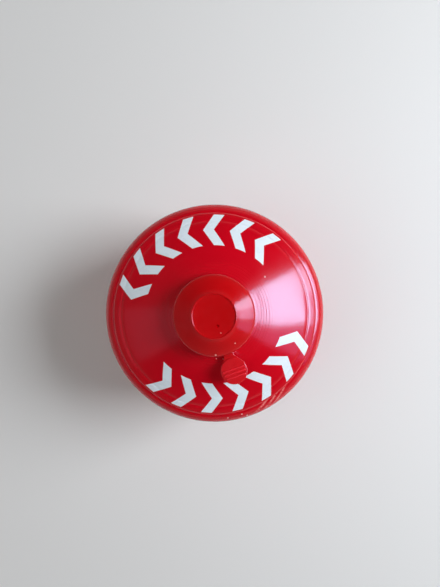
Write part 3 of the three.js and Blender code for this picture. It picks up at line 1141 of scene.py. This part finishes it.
@dataclass
class ValveInside:
    """The valve's inner pieces, which keep the frame's own meshes and get their finishes."""

    nodes: dict[str, Piece]

    def build(self) -> None:
        """Dresses each inner piece."""
        gaskets = ("cup_gasket", "stem_gasket")
        mouldings = ("valve_housing", "valve_stem")
        for finish, names in ((BLACK_RUBBER, gaskets), (PALE_NYLON, mouldings)):
            material = finish.material()
            for name in names:
                self.nodes[name].material_slots[0].material = material


@dataclass(frozen=True)
class Lamp:
    """A rectangular soft light that faces the can."""

    name: str
    azimuth: float
    elevation: float
    distance: float
    width: float
    height: float
    power: float
    colour: tuple[float, float, float]
    in_diffuse: bool = True
    in_gloss: bool = True
    roll: float = 0.0
    aim_height: float = 80.0

    def build(self) -> None:
        """Makes the lamp."""
        flat, up = ray(self.elevation)
        away = Vector((*(ray(self.azimuth) * flat), up))
        light = bpy.data.lights.new(self.name, "AREA")
        light.shape = "RECTANGLE"
        light.size = self.width * MM
        light.size_y = self.height * MM
        light.energy = self.power
        light.color = self.colour
        holder = bpy.data.objects.new(self.name, light)
        holder.location = (Vector((0, 0, self.aim_height)) + away * self.distance) * MM
        lean = Matrix.Rotation(math.radians(self.roll), 3, "Z")
        holder.rotation_euler = (away.to_track_quat("Z", "Y").to_matrix() @ lean).to_euler()
        holder.visible_diffuse = self.in_diffuse
        holder.visible_glossy = self.in_gloss
        bpy.context.scene.collection.objects.link(holder)


@dataclass
class Studio:
    """The pale floor, the soft room, the lamps and the camera."""

    floor_size: float = 8000.0
    floor_colour: Colour = (0.80, 0.795, 0.785, 1.0)
    backdrop_level: float = 0.70
    fade_start: float = 180.0
    fade_end: float = 900.0
    lens: float = 26.49
    camera_place: tuple[float, float, float] = (2.69, 9.90, 285.4)
    overhead_level: float = 0.032
    side_level: float = 0.47
    lamps: tuple[Lamp, ...] = (
        Lamp("window", 11, 37, 900, 500, 500, 8.6, (0.94, 0.97, 1.0), in_gloss=False),
        Lamp("window_sheen", 7.2, 42, 870, 475, 350, 11.6, (0.40, 0.66, 1.0), in_diffuse=False, roll=6.5),
        Lamp("window_sill", 19, 22.5, 865, 230, 230, 2.1, (0.50, 0.70, 1.0), in_diffuse=False),
        Lamp("sill_edge", 2, 22.5, 860, 290, 230, 1.1, (0.60, 0.60, 1.0), in_diffuse=False),
        Lamp("window_edge", -21, 36, 850, 250, 460, 0.8, (0.45, 0.5, 1.0), in_diffuse=False),
        Lamp("left_wall", 197, 42, 870, 480, 420, 0.2, (0.8, 0.7, 1.0), in_diffuse=False),
        Lamp("ceiling", 170, 70, 1500, 1800, 1800, 5.2, (1.0, 0.99, 0.97), in_gloss=False),
        Lamp("left_fill", 190, 42, 1200, 900, 900, 1.7, (1.0, 0.97, 0.94), in_gloss=False),
    )

    def build(self) -> None:
        """Makes the floor, the lights and the camera."""
        self.floor()
        self.world()
        for lamp in self.lamps:
            lamp.build()
        self.camera()

    def floor(self) -> None:
        """Makes the floor that the can stands on, which fades into the backdrop further off."""
        bm = bmesh.new()
        bmesh.ops.create_grid(bm, x_segments=1, y_segments=1, size=self.floor_size * MM / 2)
        floor = object_from(bm, "floor")
        material, shader = new_material("pale_floor")
        place = shader.place()
        radius = shader.round_place(place)[0]
        colour = shader.mix(shader.noise(place, 0.004) * 0.1, self.floor_colour, WHITE)
        near = shader.add("ShaderNodeBsdfPrincipled", inputs={"Base Color": colour, "Roughness": 0.8})
        level = (*[self.backdrop_level] * 3, 1.0)
        far = shader.add("ShaderNodeEmission", inputs={"Color": level})
        seen = shader.add("ShaderNodeLightPath", output="Is Camera Ray")
        share = radius.smooth(self.fade_start, self.fade_end) * seen
        shader.send(shader.add("ShaderNodeMixShader", inputs={0: share, 1: near, 2: far}))
        floor.data.materials.append(material)
        floor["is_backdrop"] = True

    def world(self) -> None:
        """Makes the room's soft light, brightest low on the window's side, with a plain backdrop."""
        world = bpy.data.worlds.new("soft_room")
        world.use_nodes = True
        shader = Shader(world.node_tree)
        ways = shader.parts(shader.add("ShaderNodeTexCoord", output="Generated"))
        low = ways[2].fall(0.15, 0.55)
        right = ways[0].smooth(-0.9, 0.9) * 0.5 + 0.5
        light = low * right * self.side_level + self.overhead_level
        seen = shader.add("ShaderNodeLightPath", output="Is Camera Ray")
        strength = light * (1.0 - seen) + seen * self.backdrop_level
        background = shader.add("ShaderNodeBackground", inputs={"Color": WHITE, "Strength": strength})
        shader.send(background, "ShaderNodeOutputWorld")
        bpy.context.scene.world = world

    def camera(self) -> None:
        """Makes the camera, which looks straight down as the photograph does."""
        data = bpy.data.cameras.new("camera")
        data.lens = self.lens
        data.clip_start = 0.01
        holder = bpy.data.objects.new("camera", data)
        holder.location = Vector(self.camera_place) * MM
        bpy.context.scene.collection.objects.link(holder)
        bpy.context.scene.camera = holder


def corners() -> list[list[float]]:
    """The shown object's lowest and highest corner, as plain lists."""
    return [list(corner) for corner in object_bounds()]


def main() -> None:
    """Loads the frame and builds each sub-assembly round it."""
    logging.basicConfig(level=logging.INFO, format="%(message)s")
    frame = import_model()
    bpy.context.scene.view_settings.view_transform = "Standard"
    Studio().build()
    can = Can(radius=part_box("can")[1].x / MM)
    cup = ValveCup(can)
    press = next(joint for joint in frame["joints"] if joint["name"] == "valve_press")
    spring = ReturnSpring(travel=press["range_m"][1] / MM)
    for assembly in (can, cup, Cap(can, cup), ValveInside(frame["nodes"]), spring):
        assembly.build()
        log.info("%s is built", type(assembly).__name__)


if __name__ == "__main__":
    main()
